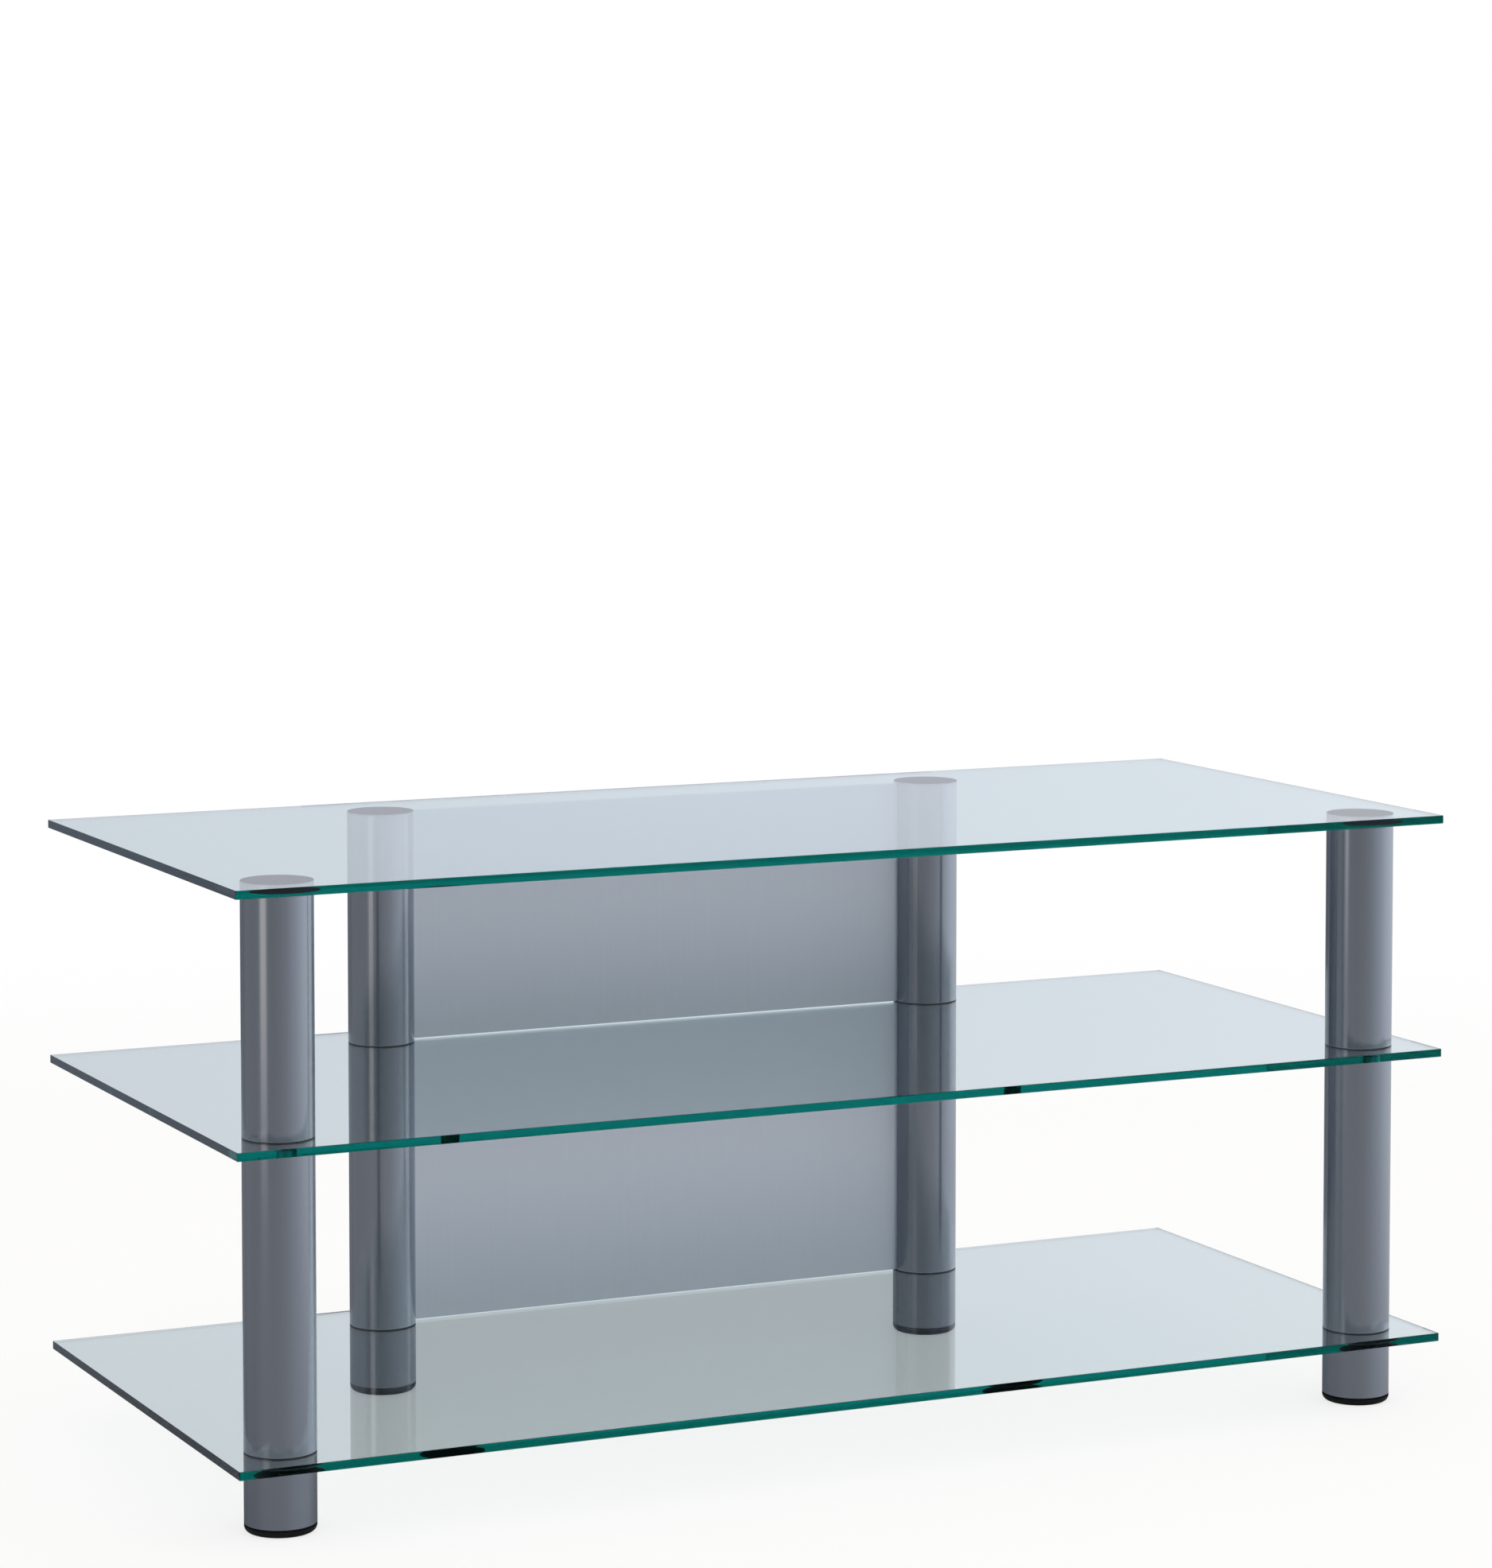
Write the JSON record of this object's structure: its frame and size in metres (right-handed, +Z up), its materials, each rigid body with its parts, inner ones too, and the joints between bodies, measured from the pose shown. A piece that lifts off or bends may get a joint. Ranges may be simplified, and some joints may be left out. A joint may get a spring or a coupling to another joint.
{
  "type": "television stand",
  "caption": "Low open stand of flat glass shelves clamped on round aluminium posts, with cable panels between the rear posts and levelling feet.",
  "frame": {"origin": "centre of the bounding box at floor level, under the middle of the shelves", "axes": "+X to the right along the width, seen from the front; -Y towards the front; +Z up"},
  "size_m": [0.95, 0.42, 0.4468],
  "materials": {
    "clear_glass": "toughened clear float glass, polished edges with a small arris, green in the edge",
    "satin_aluminium": "drawn tube and turned discs, satin anodised, darker grey",
    "panel_aluminium": "sheet, satin anodised, silver",
    "zinc_steel": "turned steel, bright zinc plated",
    "black_pad": "black bonding pad",
    "black_plastic": "moulded black polyamide",
    "foot_rubber": "moulded black plastic, fine matt"
  },
  "bodies": {
    "stand": {"top_shelf": "clear_glass", "middle_shelf": "clear_glass", "bottom_shelf": "clear_glass", "upper_tube_front_left": "satin_aluminium", "upper_tube_front_right": "satin_aluminium", "upper_tube_rear_left": "satin_aluminium", "upper_tube_rear_right": "satin_aluminium", "lower_tube_front_left": "satin_aluminium", "lower_tube_front_right": "satin_aluminium", "lower_tube_rear_left": "satin_aluminium", "lower_tube_rear_right": "satin_aluminium", "base_tube_front_left": "satin_aluminium", "base_tube_front_right": "satin_aluminium", "base_tube_rear_left": "satin_aluminium", "base_tube_rear_right": "satin_aluminium", "back_panel_upper": "panel_aluminium", "back_panel_lower": "panel_aluminium", "top_discs": "satin_aluminium", "bonding_pads": "black_pad", "tie_rods": "zinc_steel", "upper_tube_plugs": "black_plastic", "lower_tube_plugs": "black_plastic", "base_tube_plugs": "black_plastic", "base_plugs": "black_plastic", "coupling_nuts": "zinc_steel"},
    "foot_front_left": {"foot_front_left": "foot_rubber", "foot_screw_front_left": "zinc_steel"},
    "foot_front_right": {"foot_front_right": "foot_rubber", "foot_screw_front_right": "zinc_steel"},
    "foot_rear_left": {"foot_rear_left": "foot_rubber", "foot_screw_rear_left": "zinc_steel"},
    "foot_rear_right": {"foot_rear_right": "foot_rubber", "foot_screw_rear_right": "zinc_steel"}
  },
  "joints": [
    {"name": "level_front_left", "type": "slide", "parent": "stand", "child": "foot_front_left", "axis": [0, 0, -1], "range_m": [0, 0.01]},
    {"name": "level_front_right", "type": "slide", "parent": "stand", "child": "foot_front_right", "axis": [0, 0, -1], "range_m": [0, 0.01]},
    {"name": "level_rear_left", "type": "slide", "parent": "stand", "child": "foot_rear_left", "axis": [0, 0, -1], "range_m": [0, 0.01]},
    {"name": "level_rear_right", "type": "slide", "parent": "stand", "child": "foot_rear_right", "axis": [0, 0, -1], "range_m": [0, 0.01]}
  ]
}
